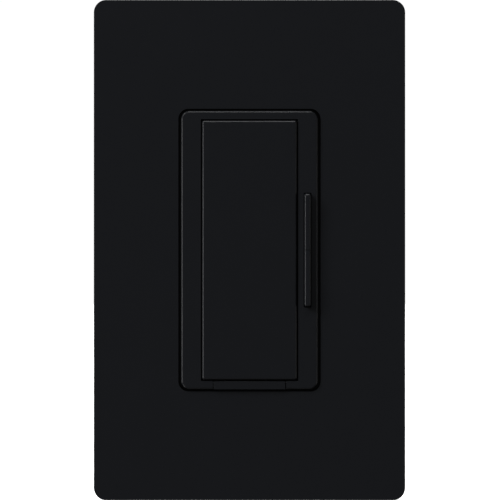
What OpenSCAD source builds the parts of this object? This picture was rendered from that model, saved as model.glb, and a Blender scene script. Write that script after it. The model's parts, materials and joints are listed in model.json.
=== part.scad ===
// Wall-box dimmer: a tap paddle, a narrow dimming rocker and a pull-out service
// switch behind a screwless wall plate, with its yoke, case and circuit board.
// X runs to the right, Y into the wall and Z up. The wall's surface is Y = 0, and
// the origin lies midway between the two wall-box screws.

/* [Wall plate] */
// Width of the wall plate
plate_w = 74.1; // [73:0.1:78]
// Height of the wall plate
plate_h = 119.1; // [118.6:0.1:122]
// How far the wall plate stands off the wall
plate_depth = 7.6; // [7.4:0.1:8.2]
// Radius of the wall plate's corners
plate_corner_r = 3.0; // [2.5:0.1:4]
// Thickness of the wall plate's skin and sides
plate_wall = 2.0; // [1.8:0.1:2.1]
// Width of the opening for the dimmer's front
opening_w = 33.8; // [33.7:0.1:34.2]
// Height of the opening for the dimmer's front
opening_h = 67.2; // [67.0:0.1:67.6]

/* [Front controls] */
// Width of the bezel's raised face
bezel_w = 32.5; // [32.4:0.1:32.9]
// Height of the bezel's raised face
bezel_h = 66.2; // [66.2:0.1:66.5]
// Radius of the bezel's corners
bezel_corner_r = 2.0; // [1.5:0.1:2.4]
// How far the bezel stands in front of the wall plate
bezel_proud = 0.8; // [0.5:0.1:1]
// Width of the tap paddle
paddle_w = 22.5; // [22.3:0.1:22.6]
// Height of the tap paddle
paddle_h = 61.6; // [61.5:0.1:61.8]
// How far the tap paddle stands in front of the bezel
paddle_proud = 0.5; // [0.3:0.1:0.8]
// Width of the dimming rocker's bar
rocker_w = 1.5; // [1.4:0.1:1.6]
// Height of the dimming rocker's bar
rocker_h = 26.8; // [26.2:0.1:27]
// How far the rocker's ends stand in front of the bezel
rocker_proud = 1.8; // [1.2:0.1:2.2]
// How much lower the rocker's middle is than its ends
rocker_dip = 0.3; // [0.1:0.1:0.6]
// Width of the service switch's tab
tab_w = 17.0; // [16:0.1:17]

/* [Yoke and fixings] */
// Width of the mounting yoke
yoke_w = 46; // [45:0.5:48]
// Height of the mounting yoke
yoke_h = 104.6; // [103:0.1:105]
// Thickness of the yoke's sheet
yoke_t = 1.5; // [1.4:0.1:1.5]
// Distance between the two wall-box screws
box_screw_pitch = 83.3; // [83.2:0.1:83.4]
// Length of a wall-box screw under its head
box_screw_length = 19; // [16:0.5:25]
// Distance between the two screws that hold the plate's adapter
adapter_screw_pitch = 96.8; // [96.6:0.1:97]

/* [Case] */
// Width of the case behind the yoke
case_w = 43.6; // [43.4:0.1:44.4]
// Height of the case behind the yoke
case_h = 70; // [69.8:0.1:70.6]
// Depth of the case behind the yoke
case_depth = 30; // [29.8:0.1:33]

/* [Hidden] */
$fn = 48;

// How far a cutting shape runs past what it cuts, and joined shapes into each other
past = 1;
weld = 0.2;

// Colours
c_black = [0.09, 0.09, 0.1];
c_case = [0.16, 0.16, 0.17];
c_chip = [0.13, 0.13, 0.13];
c_steel = [0.72, 0.73, 0.75];
c_brass = [0.8, 0.65, 0.3];
c_contact = [0.8, 0.5, 0.3];

// Faces from the wall outwards, as Y values
wall = 0;
yoke_front = -yoke_t;
plate_front = -plate_depth;
bezel_front = plate_front - bezel_proud;
paddle_front = bezel_front - paddle_proud;
rocker_front = bezel_front - rocker_proud;

// Wall plate's inside, and the ribs that hook it on the adapter
plate_inner_w = plate_w - 2 * plate_wall;
plate_inner_h = plate_h - 2 * plate_wall;
plate_inner_r = plate_corner_r - 1.5;
skin_inside = plate_front + plate_wall;
opening_r = bezel_corner_r + 0.4;
hook_rib = [8, 1.0, 1.35];
hook_rib_y = -2.6;
latch_x = 18;

// Adapter between the yoke and the wall plate
adapter_w = 66;
adapter_h = 110;
adapter_corner_r = 2.5;
adapter_t = 1.6;
adapter_front = yoke_front - adapter_t;
adapter_screw_z = adapter_screw_pitch / 2;
box_screw_z = box_screw_pitch / 2;

// Bezel
bezel_skin = 1.5;
skin_back = bezel_front + bezel_skin;
bezel_base_w = 34.8;
bezel_base_h = 68.4;
bezel_base_front = yoke_front - 1.6;
bezel_floor_front = yoke_front - 1.2;
paddle_gap = 0.3;
window_w = paddle_w + 2 * paddle_gap;
window_h = 62.2;
rocker_x = 13.8;
rocker_gap = 0.15;
rocker_end_gap = 0.22;
tab_gap = 0.2;
tab_top = -window_h / 2 - 0.05;
tab_bottom = -bezel_h / 2;
hook_x = 15.5;
hook_z = 24;

// Pivots of the two moving keys, as [height, depth], and their journals' radius
paddle_pivot = [28.6, -4.2];
rocker_pivot = [0, -4.6];
journal_r = 0.78;
bore_r = 0.85;
journal_end = 12.5;

// Stops and lugs that keep the paddle from swinging out, at its foot
lug_z = [-28.2, -25.8];
lug_y = [-5.45, -4.6];
lug_reach = 0.9;

// Circuit board
board_front = 3.4;
board_t = 1.6;
board_back = board_front + board_t;
board_w = 38.6;
board_bottom = -28.5;
board_top = 30.5;

// Tactile switches: the paddle's one, and the rocker's two
switch_size = 6;
switch_top = -0.1;
plunger_top = -1.4;
plunger_r = 1.5;
touch_gap = 0.02;
cover_t = 0.4;
paddle_switch_at = [0, 11.9];
rocker_switch_z = 5.5;
rocker_switches_at = [for (s = [1, -1]) [rocker_x, s * rocker_switch_z]];
all_switches_at = concat([paddle_switch_at], rocker_switches_at);

// Paddle's return spring
spring_w = 4;
spring_t = 0.25;
spring_foot_z = -22.6;
spring_seat = [-5, -4.6];

// Screw sizes: a 6-32 thread's radius and the hole tapped for it, the plain neck of
// a wall-box screw, which ends behind the yoke, and the case screws' shank
thread_r = 1.75;
tapped_r = thread_r + 0.05;
neck_r = 1.45;
neck_end = 0.4;
case_screw_r = 1.25;
ground_at = [15, -39];

// Slot of a wall-box screw in the yoke, as [length, width]
box_slot = [7.0, 4.0];

// Case
case_wall = 1.7;
case_floor = 2.0;
case_corner_r = 3;
case_inner_back = case_depth - case_floor;
case_screw_at = [18, 30.8];
label_size = [24, 36];
label_recess = 0.2;

// Wire terminals, as side (1 right, -1 left) and height. The first is the common.
terminals = [[-1, -20], [1, 11], [1, -11]];
terminal_y = 22.2;
terminal_plate_x = 14.6;
terminal_clamp_x = 17.9;
terminal_sheet = 0.8;
wire_entry_at = [16.65, 3.1];
wire_entry_r = 1.25;

// Service switch: its stem through the yoke, and its contacts
stem_w = 7;
stem_z = [-32.9, -31.5];
carriage_top = -29.2;
contact_at = [4.4, -30.8];
contact_r = 1.1;
bridge_y = 7.2;
contact_sheet = 0.5;
contact_button = 0.3;
contact_leg_z = -26;

// Triac on the yoke's back
triac_x = -9;
triac_w = 10;
triac_rivet_z = 28;
rivet_head_r = 2.4;
rivet_head_h = 0.7;
triac_pad_t = 0.3;
triac_tab_t = 1.3;
lead_pitch = 2.54;
lead_z = 12.45;
rivet_hole_r = 1.6;

// Toroidal choke
choke_at = [1, 10.4, 17];
choke_ring_r = 7.25;
choke_core_size = [5.5, 6];
choke_turn_r = 4.55;
choke_wire_r = 0.45;
choke_turns = 15;
choke_arc = [110, 430];

// ---- Shared shapes -------------------------------------------------------

// Rectangle with rounded corners
module rounded_rect(w, h, r) {
    square([w - 2 * r, h], center = true);
    square([w, h - 2 * r], center = true);
    for (x = [-1, 1], z = [-1, 1])
        translate([x * (w / 2 - r), z * (h / 2 - r)]) circle(r);
}

// Slot with round ends, long in X
module long_slot(length, width) {
    square([length - width, width], center = true);
    for (s = [-1, 1]) translate([s * (length - width) / 2, 0]) circle(width / 2);
}

// A front-view outline made solid between two depths
module slab(y0, y1) {
    translate([0, y1, 0]) rotate([90, 0, 0]) linear_extrude(y1 - y0) children();
}

// Box from its lowest and highest corners
module block(lo, hi) {
    translate(lo) cube(hi - lo);
}

// Round bar along Y, from depth y0 to y1, at x and z
module bar_y(at, y0, y1, r) {
    translate([at[0], y0, at[1]]) rotate([-90, 0, 0]) cylinder(h = y1 - y0, r = r);
}

// Cone along Y, of radius r0 at depth y0 and r1 at y1
module cone_y(at, y0, y1, r0, r1) {
    translate([at[0], y0, at[1]]) rotate([-90, 0, 0]) cylinder(h = y1 - y0, r1 = r0, r2 = r1);
}

// Round bar along X, from x0 to x1, at height and depth [z, y]
module bar_x(at, x0, x1, r) {
    translate([x0, at[1], at[0]]) rotate([0, 90, 0]) cylinder(h = x1 - x0, r = r);
}

// Side-view outline in (y, z) made solid from x0 to x1
module side_slab(x0, x1) {
    translate([x0, 0, 0]) rotate([90, 0, 90]) linear_extrude(x1 - x0) children();
}

// Its children on the right and mirrored on the left
module both_sides() {
    children();
    mirror([1, 0, 0]) children();
}

// Its children at the top and mirrored at the bottom
module top_and_bottom() {
    children();
    mirror([0, 0, 1]) children();
}

// Cross-shaped recess in a screw's head, at the face y, with arms of different length
module drive_recess(at, y, long_arm, short_arm, depth, width) {
    translate([at[0], y, at[1]]) {
        cube([long_arm, depth, width], center = true);
        cube([width, depth, short_arm], center = true);
    }
}

// Low round screw head with its seat at depth y; the head is in front
module pan_head(at, y, head_r, head_h) {
    side_h = head_h * 0.6;
    top_r = head_r * 0.72;
    difference() {
        union() {
            bar_y(at, y - side_h, y, head_r);
            cone_y(at, y - head_h, y - side_h, top_r, head_r);
        }
        drive_recess(at, y - head_h, head_r * 1.5, head_r * 1.1, head_h, 0.9);
    }
}

// ---- Wall plate and its adapter ------------------------------------------

module wall_plate() {
    pry_slot = [8, 1.2];
    collar_t = 1.2;
    collar_depth = 1.4;
    stiffener_x = 20;
    stiffener_z = [36.5, 37.5];
    stiffener_depth = 0.9;
    color(c_black) {
        difference() {
            slab(plate_front, wall) rounded_rect(plate_w, plate_h, plate_corner_r);
            slab(skin_inside, wall + past) rounded_rect(plate_inner_w, plate_inner_h, plate_inner_r);
            slab(plate_front - past, wall) rounded_rect(opening_w, opening_h, opening_r);
            // Slot for a screwdriver, to lift the plate off
            block([-pry_slot[0] / 2, -pry_slot[1], -plate_h / 2 - past],
                  [pry_slot[0] / 2, past, -plate_inner_h / 2 + past]);
        }
        // Collar round the opening
        slab(skin_inside - weld, skin_inside + collar_depth) difference() {
            rounded_rect(opening_w + 2 * collar_t, opening_h + 2 * collar_t, opening_r + collar_t);
            rounded_rect(opening_w, opening_h, opening_r);
        }
        // Ribs that hook behind the adapter's latches
        top_and_bottom() both_sides()
            translate([latch_x - hook_rib[0] / 2, hook_rib_y, plate_inner_h / 2 - hook_rib[2]])
                cube([hook_rib[0], hook_rib[1], hook_rib[2] + weld]);
        // Stiffening ribs across the skin's back
        top_and_bottom() both_sides()
            block([stiffener_x, skin_inside - weld, stiffener_z[0]],
                  [plate_inner_w / 2 + weld, skin_inside + stiffener_depth, stiffener_z[1]]);
    }
}

module plate_adapter() {
    rim = 1.5;
    rim_y = [-4.2, -0.1];
    window = [35.5, 69.2];
    window_r = 2.5;
    screw_hole_r = 2.0;
    head_clearance_r = 4.0;
    latch_w = 7;
    color([0.12, 0.12, 0.13]) {
        difference() {
            slab(adapter_front, yoke_front) rounded_rect(adapter_w, adapter_h, adapter_corner_r);
            slab(adapter_front - past, wall) rounded_rect(window[0], window[1], window_r);
            top_and_bottom() {
                bar_y([0, adapter_screw_z], adapter_front - past, wall, screw_hole_r);
                bar_y([0, box_screw_z], adapter_front - past, wall, head_clearance_r);
            }
        }
        slab(rim_y[0], rim_y[1]) difference() {
            rounded_rect(adapter_w, adapter_h, adapter_corner_r);
            rounded_rect(adapter_w - 2 * rim, adapter_h - 2 * rim, adapter_corner_r - rim);
        }
        // Latches that the wall plate's ribs snap behind
        top_and_bottom() both_sides()
            block([latch_x - latch_w / 2, rim_y[0], adapter_h / 2 - weld],
                  [latch_x + latch_w / 2, hook_rib_y - 0.2, plate_inner_h / 2 - 0.45]);
    }
}

module adapter_screws() {
    head_r = 3.0;
    head_h = 1.5;
    length = 6.3;
    color([0.1, 0.1, 0.11]) for (s = [-1, 1]) {
        pan_head([0, s * adapter_screw_z], adapter_front, head_r, head_h);
        bar_y([0, s * adapter_screw_z], adapter_front, adapter_front + length, thread_r);
    }
}

// ---- Front controls ------------------------------------------------------

// Hook that clips the bezel's back into the yoke, drawn for the top right
module bezel_hook() {
    half_w = 0.6;
    half_h = 2;
    tip_y = [0.1, 1.2];
    tip_reach = 1.5;
    block([hook_x - half_w, yoke_front - weld, hook_z - half_h],
          [hook_x + half_w, tip_y[1], hook_z + half_h]);
    block([hook_x + half_w - weld, tip_y[0], hook_z - half_h],
          [hook_x + tip_reach, tip_y[1], hook_z + half_h]);
}

module bezel() {
    base_r = 2.4;
    wall_x = 12.8;
    pocket_x = [12.8, 15];
    pocket_z = [-23, 25];
    rocker_pocket = [2.8, 32];
    groove_front = 0.5;
    groove_reach = 0.8;
    rocker_journal_end = 16;
    ledge = 1.1;
    stem_play = 0.4;
    color(c_black) {
        difference() {
            union() {
                slab(bezel_front, yoke_front) rounded_rect(bezel_w, bezel_h, bezel_corner_r);
                slab(bezel_base_front, yoke_front) rounded_rect(bezel_base_w, bezel_base_h, base_r);
            }
            // Window for the paddle, with a ledge all round at its back
            slab(bezel_front - past, bezel_floor_front) square([window_w, window_h], center = true);
            slab(bezel_floor_front - past, wall)
                square([window_w - 2 * ledge, window_h - 2 * ledge], center = true);
            // Notch for the service tab below it, and the hole for the tab's stem
            block([-tab_w / 2 - tab_gap, bezel_front - past, -bezel_h / 2 - past],
                  [tab_w / 2 + tab_gap, bezel_base_front, -window_h / 2 + past]);
            block([-stem_w / 2 - stem_play, bezel_base_front - past, stem_z[0] - stem_play],
                  [stem_w / 2 + stem_play, wall, stem_z[1] + stem_play]);
            both_sides() {
                // Grooves that guide the service tab
                block([tab_w / 2, bezel_front + groove_front, tab_bottom + 0.15],
                      [tab_w / 2 + groove_reach, bezel_base_front, tab_top - 0.15]);
                // Seats for the paddle's journals, and the stops for its lugs
                bar_x(paddle_pivot, window_w / 2 - past, wall_x, bore_r);
                block([window_w / 2 - past, lug_y[0] - 0.05, lug_z[0] - 0.8],
                      [paddle_w / 2 + lug_reach + 0.5, bezel_floor_front, lug_z[1] + 0.8]);
            }
            // Hollow behind the plain side
            block([-pocket_x[1], skin_back, pocket_z[0]], [-pocket_x[0], wall, pocket_z[1]]);
            // Slot for the rocker's bar, the pocket for its body, and its journals' seats
            translate([rocker_x, 0, 0]) {
                slab(bezel_front - past, bezel_floor_front)
                    square([rocker_w + 2 * rocker_gap, rocker_h + 2 * rocker_end_gap], center = true);
                slab(skin_back, bezel_floor_front) square(rocker_pocket, center = true);
            }
            bar_x(rocker_pivot, window_w / 2 - past, rocker_journal_end, bore_r);
            // Recess over the rivet's head
            bar_y([triac_x, triac_rivet_z], yoke_front - rivet_head_h - 0.1, wall, rivet_head_r + 0.3);
            // Holes for the rocker's legs
            for (at = rocker_switches_at) bar_y(at, bezel_floor_front - past, wall, plunger_r + 0.3);
        }
        top_and_bottom() both_sides() bezel_hook();
    }
}

module tap_paddle() {
    skin = 1.5;
    inside = paddle_front + skin;
    rim = 1;
    rim_back = -5.0;
    arm = [1.2, 1.4];
    rib_t = 1;
    post_r = 1.0;
    post_y = plunger_top - touch_gap - post_r;
    pad = [6, 1.6];
    color(c_black) {
        slab(paddle_front, inside) square([paddle_w, paddle_h], center = true);
        slab(inside - weld, rim_back) difference() {
            square([paddle_w, paddle_h], center = true);
            square([paddle_w - 2 * rim, paddle_h - 2 * rim], center = true);
        }
        both_sides() {
            // Arm and journal that the paddle turns on
            block([paddle_w / 2 - arm[0], inside - weld, paddle_pivot[0] - arm[1]],
                  [paddle_w / 2, paddle_pivot[1] + 1.1, paddle_pivot[0] + arm[1]]);
            bar_x(paddle_pivot, paddle_w / 2 - 0.5, journal_end, journal_r);
            // Lug that stops it at rest
            block([paddle_w / 2 - rim, inside - weld, lug_z[0]], [paddle_w / 2, lug_y[1], lug_z[1]]);
            block([paddle_w / 2 - 0.5, lug_y[0], lug_z[0]], [paddle_w / 2 + lug_reach, lug_y[1], lug_z[1]]);
        }
        // Ribs under the skin
        for (z = [-20, 3, 20])
            block([-paddle_w / 2 + rim / 2, inside - weld, z - rib_t / 2],
                  [paddle_w / 2 - rim / 2, rim_back - 0.6, z + rib_t / 2]);
        // Post that presses the switch, with a round nose
        block([-post_r, inside - weld, paddle_switch_at[1] - post_r],
              [post_r, post_y, paddle_switch_at[1] + post_r]);
        bar_x([paddle_switch_at[1], post_y], -post_r, post_r, post_r);
        // Pad that the return spring bears on
        block([-pad[0] / 2, inside - weld, spring_seat[0] - pad[1] / 2],
              [pad[0] / 2, spring_seat[1], spring_seat[0] + pad[1] / 2]);
    }
}

// Leaf spring: hooked through the yoke at its foot, it rises to the paddle's pad
module paddle_spring() {
    tip_y = spring_seat[1] + touch_gap;
    foot_y = yoke_front - spring_t;
    bend_z = -16;
    hook_top_z = -20.6;
    color("silver") side_slab(-spring_w / 2, spring_w / 2) polygon([
        [foot_y, spring_foot_z],
        [foot_y, bend_z],
        [tip_y, -5.8],
        [tip_y, -4.2],
        [tip_y + 0.5, -3.6],
        [tip_y + 0.7, -3.8],
        [tip_y + spring_t, -4.3],
        [tip_y + spring_t, -5.7],
        [yoke_front, bend_z + 0.1],
        [yoke_front, spring_foot_z + 0.3],
        [0.05, spring_foot_z + 0.3],
        [0.05, hook_top_z],
        [0.05 + spring_t, hook_top_z],
        [0.05 + spring_t, spring_foot_z]
    ]);
}

module dimming_rocker() {
    body = [2.4, 24];
    body_y = [-5.9, -3.6];
    leg_r = 0.9;
    leg_w = 1.2;
    nose_y = plunger_top - touch_gap - leg_r;
    color(c_black) {
        side_slab(rocker_x - rocker_w / 2, rocker_x + rocker_w / 2) polygon([
            [body_y[0] + weld, -rocker_h / 2],
            [rocker_front, -rocker_h / 2],
            [rocker_front + rocker_dip, 0],
            [rocker_front, rocker_h / 2],
            [body_y[0] + weld, rocker_h / 2]
        ]);
        translate([rocker_x, 0, 0]) slab(body_y[0], body_y[1]) square(body, center = true);
        bar_x(rocker_pivot, window_w / 2 + 0.2, rocker_x + 2.1, journal_r);
        // Legs that press the two switches
        for (s = [-1, 1]) {
            block([rocker_x - leg_w / 2, body_y[1] - weld, s * rocker_switch_z - leg_r],
                  [rocker_x + leg_w / 2, nose_y, s * rocker_switch_z + leg_r]);
            bar_x([s * rocker_switch_z, nose_y], rocker_x - leg_w / 2, rocker_x + leg_w / 2, leg_r);
        }
    }
}

module service_tab() {
    front_back = -4;
    inset = 0.35;
    guide_y = [-4.4, -3.4];
    guide_reach = 0.6;
    carriage_w = 11;
    carriage_y = 5.2;
    color(c_black) {
        block([-tab_w / 2, bezel_front, tab_bottom], [tab_w / 2, front_back, tab_top]);
        both_sides()
            block([tab_w / 2 - 0.5, guide_y[0], tab_bottom + inset],
                  [tab_w / 2 + guide_reach, guide_y[1], tab_top - inset]);
        block([-tab_w / 2 + 1, front_back - weld, tab_bottom + inset],
              [tab_w / 2 - 1, guide_y[1], tab_top - inset]);
        // Stem through the yoke, and the carriage that holds the contact bar
        block([-stem_w / 2, front_back - weld, stem_z[0]], [stem_w / 2, carriage_y + 0.8, stem_z[1]]);
        block([-carriage_w / 2, carriage_y, stem_z[0]], [carriage_w / 2, bridge_y, carriage_top]);
    }
}

// ---- Yoke and its fixings ------------------------------------------------

module yoke_outline() {
    wide = yoke_w / 2;
    narrow = 17;
    ear = yoke_h / 2;
    shoulder = [40, 46];
    polygon([
        [-narrow, -ear],
        [narrow, -ear],
        [narrow, -shoulder[1]],
        [wide, -shoulder[0]],
        [wide, shoulder[0]],
        [narrow, shoulder[1]],
        [narrow, ear],
        [-narrow, ear],
        [-narrow, shoulder[1]],
        [-wide, shoulder[0]],
        [-wide, -shoulder[0]],
        [-narrow, -shoulder[1]]
    ]);
}

module yoke() {
    hook_hole = [2.0, 4.6];
    switch_hole = switch_size + 0.8;
    stem_hole = [stem_w + 0.8, 2.0];
    spring_hole = [spring_w + 0.6, 0.7];
    score_x = [20.4, 20.8];
    score_depth = 0.5;
    score_half_h = 38;
    color(c_steel) difference() {
        slab(yoke_front, wall) difference() {
            yoke_outline();
            for (s = [-1, 1]) {
                translate([0, s * box_screw_z]) long_slot(box_slot[0], box_slot[1]);
                translate([0, s * adapter_screw_z]) circle(tapped_r);
                for (h = [-1, 1]) {
                    translate([h * (hook_x + 0.15), s * hook_z]) square(hook_hole, center = true);
                    translate([h * case_screw_at[0], s * case_screw_at[1]]) circle(case_screw_r + 0.1);
                }
            }
            for (at = all_switches_at) translate(at) square(switch_hole, center = true);
            translate([0, (stem_z[0] + stem_z[1]) / 2]) square(stem_hole, center = true);
            translate([0, spring_foot_z + 0.15]) square(spring_hole, center = true);
            translate([triac_x, triac_rivet_z]) circle(rivet_hole_r);
            translate(ground_at) circle(tapped_r);
        }
        // Countersinks for the case screws
        top_and_bottom() both_sides()
            cone_y(case_screw_at, yoke_front - 0.1, -0.2, case_screw_r + 1.45, case_screw_r + 0.05);
        // Scored lines where the side fins snap off beside another device
        both_sides() block([score_x[0], yoke_front - past, -score_half_h],
                           [score_x[1], yoke_front + score_depth, score_half_h]);
    }
}

module mounting_screws() {
    head_r = 3.4;
    head_h = 1.9;
    color(c_steel) for (s = [-1, 1]) {
        pan_head([0, s * box_screw_z], yoke_front, head_r, head_h);
        bar_y([0, s * box_screw_z], yoke_front, neck_end, neck_r);
        bar_y([0, s * box_screw_z], neck_end, yoke_front + box_screw_length, thread_r);
    }
}

// Bushes that keep the screws captive in the yoke's slots
module screw_retainers() {
    clearance = 0.05;
    color([0.85, 0.82, 0.72]) slab(yoke_front + clearance, -clearance) for (s = [-1, 1])
        translate([0, s * box_screw_z]) difference() {
            long_slot(box_slot[0] - 2 * clearance, box_slot[1] - 2 * clearance);
            circle(neck_r + clearance);
        }
}

// Screw on the yoke's back for the earth wire
module ground_screw() {
    head_r = 3.4;
    top_r = 2.9;
    head_y = [1.2, 2.6, 3.2];
    slot = [5, 1.4, 0.9];
    color([0.1, 0.45, 0.2]) {
        difference() {
            union() {
                bar_y(ground_at, head_y[0], head_y[1], head_r);
                cone_y(ground_at, head_y[1], head_y[2], head_r, top_r);
            }
            translate([ground_at[0], head_y[2], ground_at[1]]) cube(slot, center = true);
        }
        bar_y(ground_at, yoke_front + 0.1, head_y[0], thread_r);
    }
}

// ---- Case ----------------------------------------------------------------

// Places its children, which are drawn for the right side, at terminal t
module at_terminal(t) {
    translate([0, 0, t[1]]) if (t[0] > 0) children(); else mirror([1, 0, 0]) children();
}

module back_cover() {
    boss_r = 2.8;
    screw_depth = 12;
    ledge = [18.2, 20, 25];
    ledge_back = 12;
    pocket_z = 4.8;
    pocket_y = [17.0, 27.4];
    pocket_wall = [13.4, 15.8, 6.2];
    leg_slot = [0.9, 1.6];
    label_gap = 0.2;
    color(c_case) difference() {
        union() {
            difference() {
                slab(wall, case_depth) rounded_rect(case_w, case_h, case_corner_r);
                slab(wall - past, case_inner_back)
                    rounded_rect(case_w - 2 * case_wall, case_h - 2 * case_wall, case_corner_r - 1.5);
            }
            // Bosses for the case screws
            intersection() {
                top_and_bottom() both_sides() bar_y(case_screw_at, wall, case_depth - past, boss_r);
                slab(wall, case_depth) rounded_rect(case_w, case_h, case_corner_r);
            }
            // Ledges that the circuit board rests on
            top_and_bottom() both_sides()
                block([ledge[0], board_back, ledge[1]], [case_w / 2 - past, ledge_back, ledge[2]]);
            // Walls of the terminal pockets
            for (t = terminals) at_terminal(t)
                block([pocket_wall[0], pocket_wall[1], -pocket_wall[2]],
                      [case_w / 2 - past, case_depth - past, pocket_wall[2]]);
        }
        top_and_bottom() both_sides() bar_y(case_screw_at, wall - past, screw_depth, case_screw_r + 0.05);
        for (t = terminals) at_terminal(t) {
            block([terminal_plate_x, pocket_y[0], -pocket_z], [case_w / 2 + past, pocket_y[1], pocket_z]);
            // Slot for the plate's leg, and the two wire entries in the rear wall
            block([terminal_plate_x - 0.1, pocket_wall[1] - past, -leg_slot[1]],
                  [terminal_plate_x + leg_slot[0], pocket_y[0] + past, leg_slot[1]]);
            for (s = [-1, 1])
                bar_y([wire_entry_at[0], s * wire_entry_at[1]], pocket_y[1] - past, case_depth + past,
                      wire_entry_r);
        }
        // Shallow recess for the label
        slab(case_depth - label_recess, case_depth + past)
            rounded_rect(label_size[0] + 2 * label_gap, label_size[1] + 2 * label_gap, 1.2);
    }
}

module housing_screws() {
    head_reach = 1.25;
    length = 10;
    recess = [3.2, 1.2, 0.6];
    color(c_steel) top_and_bottom() both_sides() {
        difference() {
            cone_y(case_screw_at, yoke_front, -0.25, case_screw_r + head_reach, case_screw_r);
            drive_recess(case_screw_at, yoke_front, recess[0], recess[0], recess[1], recess[2]);
        }
        bar_y(case_screw_at, -0.3, length, case_screw_r);
    }
}

module rating_label() {
    label_t = 0.15;
    color([0.8, 0.8, 0.8]) slab(case_depth - label_recess, case_depth - label_recess + label_t)
        rounded_rect(label_size[0], label_size[1], 1.0);
}

// Sheet that keeps the board's front away from the yoke
module insulator_sheet() {
    sheet_y = [0.02, 0.27];
    sheet_size = [27, 56];
    sheet_z = -1;
    switch_hole = switch_size + 1.2;
    triac_hole = [12, 17.6];
    triac_hole_z = 23.2;
    spring_hole = [5.4, 3.0];
    color([0.9, 0.85, 0.6]) slab(sheet_y[0], sheet_y[1]) difference() {
        translate([0, sheet_z]) square(sheet_size, center = true);
        for (at = all_switches_at) translate(at) square(switch_hole, center = true);
        translate([triac_x, triac_hole_z]) square(triac_hole, center = true);
        translate([0, spring_foot_z + 1]) square(spring_hole, center = true);
    }
}

module terminal_plates() {
    face_y = [17.4, 27];
    face_half_h = 4.4;
    leg_y = 3;
    leg_half_h = 1.5;
    color(c_brass) for (t = terminals) at_terminal(t) difference() {
        union() {
            block([terminal_plate_x, face_y[0], -face_half_h],
                  [terminal_plate_x + terminal_sheet, face_y[1], face_half_h]);
            block([terminal_plate_x, leg_y, -leg_half_h],
                  [terminal_plate_x + terminal_sheet, face_y[0] + weld, leg_half_h]);
        }
        bar_x([0, terminal_y], terminal_plate_x - past, terminal_plate_x + 2 * past, tapped_r);
    }
}

module terminal_clamps() {
    clamp_y = [18, 26.4];
    clamp_half_h = 4.2;
    color(c_brass) for (t = terminals) at_terminal(t) difference() {
        block([terminal_clamp_x, clamp_y[0], -clamp_half_h],
              [terminal_clamp_x + terminal_sheet, clamp_y[1], clamp_half_h]);
        bar_x([0, terminal_y], terminal_clamp_x - past, terminal_clamp_x + 2 * past, thread_r + 0.15);
    }
}

// Binding screw of one terminal, drawn for the right side
module binding_screw() {
    seat = terminal_clamp_x + terminal_sheet;
    head_r = 3.2;
    head_h = 1.7;
    recess_depth = 1.8;
    recess_w = 0.9;
    difference() {
        bar_x([0, terminal_y], seat, seat + head_h, head_r);
        translate([seat + head_h, terminal_y, 0]) {
            cube([recess_depth, recess_w, 5], center = true);
            cube([recess_depth, 3.6, recess_w], center = true);
        }
    }
    bar_x([0, terminal_y], terminal_plate_x + 0.1, seat, thread_r);
}

module terminal_screws() {
    color([0.82, 0.68, 0.32]) for (i = [1, 2]) at_terminal(terminals[i]) binding_screw();
}

module common_screw() {
    color([0.1, 0.1, 0.1]) at_terminal(terminals[0]) binding_screw();
}

// ---- Circuit board and what it carries -----------------------------------

module circuit_board() {
    corner_cut = [14.9, 27.6];
    corner_size = 10;
    triac_cut_x = [-6.2, 5.7];
    triac_cut_z = 14.2;
    leg_slot = [1.0, 3.2];
    contact_slot = [3.4, 0.7];
    lead_hole_r = 0.55;
    color([0.1, 0.35, 0.2]) slab(board_front, board_back) difference() {
        translate([-board_w / 2, board_bottom]) square([board_w, board_top - board_bottom]);
        // Room for the case bosses and for the triac
        for (x = [-1, 1], z = [-1, 1])
            translate([x * (corner_cut[0] + corner_size / 2), z * (corner_cut[1] + corner_size / 2)])
                square(corner_size, center = true);
        translate([triac_x + triac_cut_x[0], triac_cut_z])
            square([triac_cut_x[1] - triac_cut_x[0], board_top - triac_cut_z + past]);
        // Slots for the terminals' and the contacts' legs
        for (t = terminals)
            translate([t[0] * (terminal_plate_x + terminal_sheet / 2), t[1]]) square(leg_slot, center = true);
        for (s = [-1, 1])
            translate([s * contact_at[0], contact_leg_z - contact_sheet / 2])
                square(contact_slot, center = true);
        // Holes for the triac's leads
        for (s = [-1, 0, 1]) translate([triac_x + s * lead_pitch, lead_z]) circle(lead_hole_r);
    }
}

// Base of one tactile switch
module switch_base(at) {
    well_y = 1.4;
    difference() {
        translate([at[0], 0, at[1]])
            slab(switch_top + cover_t, board_front) square(switch_size, center = true);
        bar_y(at, switch_top, well_y, plunger_r + 0.2);
    }
}

module paddle_switch() {
    color(c_chip) switch_base(paddle_switch_at);
}

module rocker_switches() {
    color(c_chip) for (at = rocker_switches_at) switch_base(at);
}

module switch_covers() {
    cover_size = 5.6;
    color("silver") slab(switch_top, switch_top + cover_t) for (at = all_switches_at)
        translate(at) difference() {
            square(cover_size, center = true);
            circle(plunger_r + 0.08);
        }
}

// Plunger of one tactile switch
module plunger(at) {
    foot_y = 0.7;
    color([0.3, 0.3, 0.3]) bar_y(at, plunger_top, foot_y, plunger_r);
}

module paddle_plunger() { plunger(paddle_switch_at); }
module raise_plunger() { plunger(rocker_switches_at[0]); }
module lower_plunger() { plunger(rocker_switches_at[1]); }

// Bar that joins the two fixed contacts until the service tab is pulled
module air_gap_bridge() {
    half_w = 6;
    bottom = -32.5;
    back = bridge_y + contact_sheet;
    color(c_contact) {
        block([-half_w, bridge_y, bottom], [half_w, back, carriage_top]);
        both_sides()
            bar_y(contact_at, back - weld, back + contact_button, contact_r);
    }
}

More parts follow.
